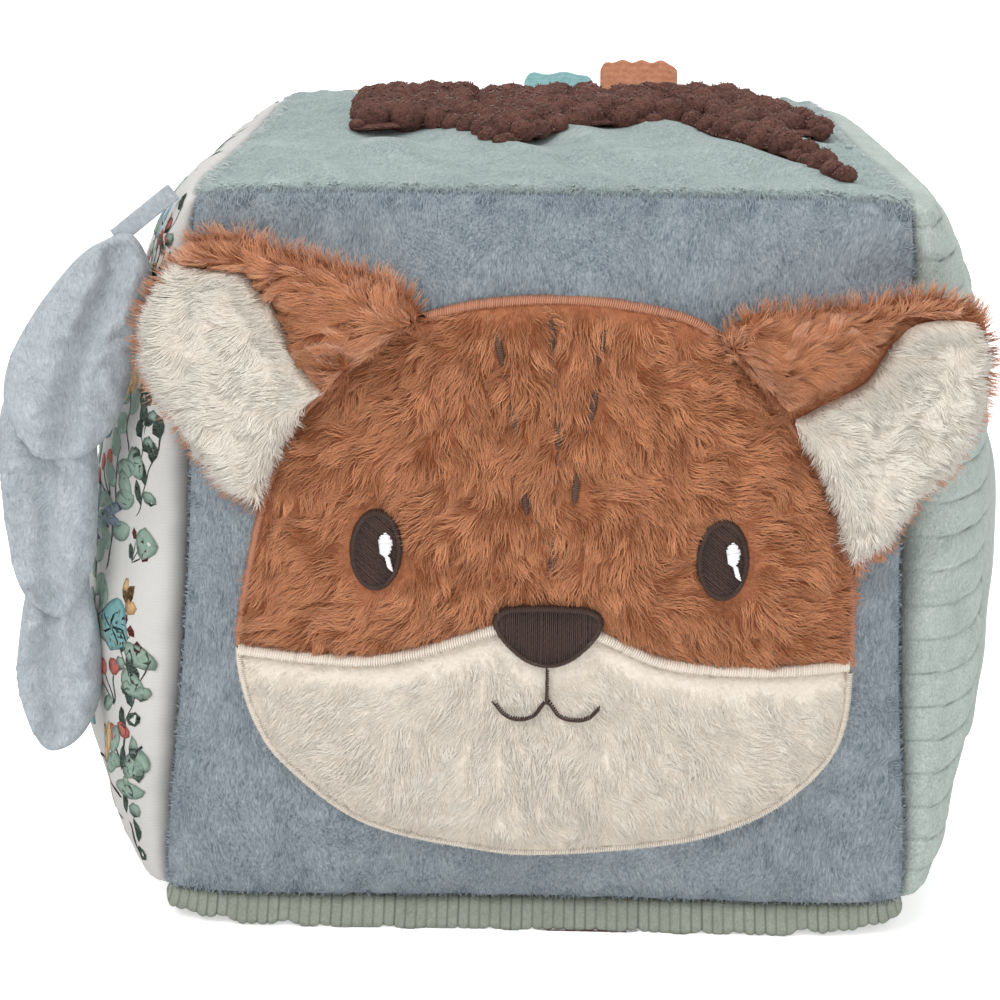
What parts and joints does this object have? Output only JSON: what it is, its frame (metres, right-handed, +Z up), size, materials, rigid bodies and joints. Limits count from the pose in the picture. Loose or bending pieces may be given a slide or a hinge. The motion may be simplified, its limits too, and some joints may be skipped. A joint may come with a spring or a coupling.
{
  "type": "activity cube",
  "caption": "Soft stuffed activity cube with a furry animal face, folding ears, bobbled branch, hanging leaf, mirror under a flap and ribbon tabs.",
  "frame": {"origin": "on the floor under the middle of the cube, in the flat where the underside rests", "axes": "+Z up, the face looks towards -Y, +X to the right as seen from the face's front"},
  "size_m": [0.2165, 0.1763, 0.1662],
  "materials": {
    "blue_plush": "short-pile plush",
    "mint_plush": "short-pile plush",
    "beige_plush": "short-pile plush",
    "white_cotton": "printed woven cotton",
    "mint_corduroy": "wide-wale corduroy",
    "sage_corduroy": "fine-wale corduroy",
    "fox_fur": "long-pile fur",
    "cream_fur": "long-pile fur",
    "brown_thread": "satin stitch",
    "cream_thread": "satin stitch",
    "dark_thread": "satin stitch",
    "white_thread": "satin stitch",
    "popcorn_chenille": "bobbled chenille",
    "leaf_plush": "short-pile plush",
    "pale_ribbon": "satin ribbon",
    "teal_ribbon": "grosgrain ribbon",
    "rust_ribbon": "velvet ribbon",
    "mirror_film": "flexible mirror film",
    "stuffing": "polyester fill",
    "rattle_shell": "moulded plastic"
  },
  "bodies": {
    "cube": {"front_cover": "blue_plush", "back_cover": "beige_plush", "left_cover": "white_cotton", "right_cover": "mint_corduroy", "top_cover": "mint_plush", "bottom_cover": "sage_corduroy", "stuffing_lower": "stuffing", "stuffing_upper": "stuffing", "rattle_case_lower": "rattle_shell", "rattle_case_upper": "rattle_shell", "face_fur": "fox_fur", "muzzle_fur": "cream_fur", "muzzle_border": "cream_thread", "head_border": "brown_thread", "chin_border": "cream_thread", "eye_left": "dark_thread", "eye_right": "dark_thread", "eye_glint_left": "white_thread", "eye_glint_right": "white_thread", "nose": "dark_thread", "mouth_stitch": "dark_thread", "popcorn_branch": "popcorn_chenille", "under_patch": "popcorn_chenille", "mirror_frame": "mint_plush", "mirror": "mirror_film", "forehead_stitch_1": "dark_thread", "forehead_stitch_2": "dark_thread", "forehead_stitch_3": "dark_thread", "forehead_stitch_4": "dark_thread", "forehead_stitch_5": "dark_thread", "forehead_stitch_6": "dark_thread", "forehead_stitch_7": "dark_thread", "forehead_stitch_8": "dark_thread", "forehead_stitch_9": "dark_thread"},
    "ear_left": {"ear_left_back": "fox_fur", "ear_left_lining": "cream_fur"},
    "ear_right": {"ear_right_back": "fox_fur", "ear_right_lining": "cream_fur"},
    "ribbon": {"leaf_ribbon": "pale_ribbon"},
    "leaf": {"leaf_upper": "leaf_plush", "leaf_middle": "leaf_plush", "leaf_lower": "leaf_plush"},
    "flap": {"mirror_flap": "mint_corduroy"},
    "tab_teal": {"teal_tab": "teal_ribbon"},
    "tab_rust": {"rust_tab": "rust_ribbon"},
    "ball": {"rattle_ball": "rattle_shell"}
  },
  "joints": [
    {"name": "ear_left_fold", "type": "hinge", "parent": "cube", "child": "ear_left", "pos_m": [-0.0437, -0.0826, 0.1146], "axis": [0.6306, 0, 0.7761], "range_deg": [0, 50]},
    {"name": "ear_right_fold", "type": "hinge", "parent": "cube", "child": "ear_right", "pos_m": [0.0512, -0.0826, 0.1073], "axis": [0.5517, 0, -0.834], "range_deg": [0, 50]},
    {"name": "ribbon_swing", "type": "hinge", "parent": "cube", "child": "ribbon", "pos_m": [-0.07615, -0.06682, 0.15299], "axis": [0, 1, 0], "range_deg": [0, 45]},
    {"name": "leaf_swing", "type": "hinge", "parent": "ribbon", "child": "leaf", "pos_m": [-0.08552, -0.06682, 0.14667], "axis": [0, 1, 0], "range_deg": [0, 60]},
    {"name": "flap_open", "type": "hinge", "parent": "cube", "child": "flap", "pos_m": [0.1002, 0, 0.097], "axis": [0, -1, 0], "range_deg": [0, 120]},
    {"name": "teal_tab_bend", "type": "hinge", "parent": "cube", "child": "tab_teal", "pos_m": [0.0017, 0.06892, 0.15551], "axis": [-1, 0, 0], "range_deg": [-7, 35]},
    {"name": "rust_tab_bend", "type": "hinge", "parent": "cube", "child": "tab_rust", "pos_m": [0.0213, 0.06914, 0.15555], "axis": [-1, 0, 0], "range_deg": [-7, 35]},
    {"name": "ball_travel", "type": "slide", "parent": "cube", "child": "ball", "axis": [0, 0, 1], "range_m": [0, 0.0188]}
  ]
}
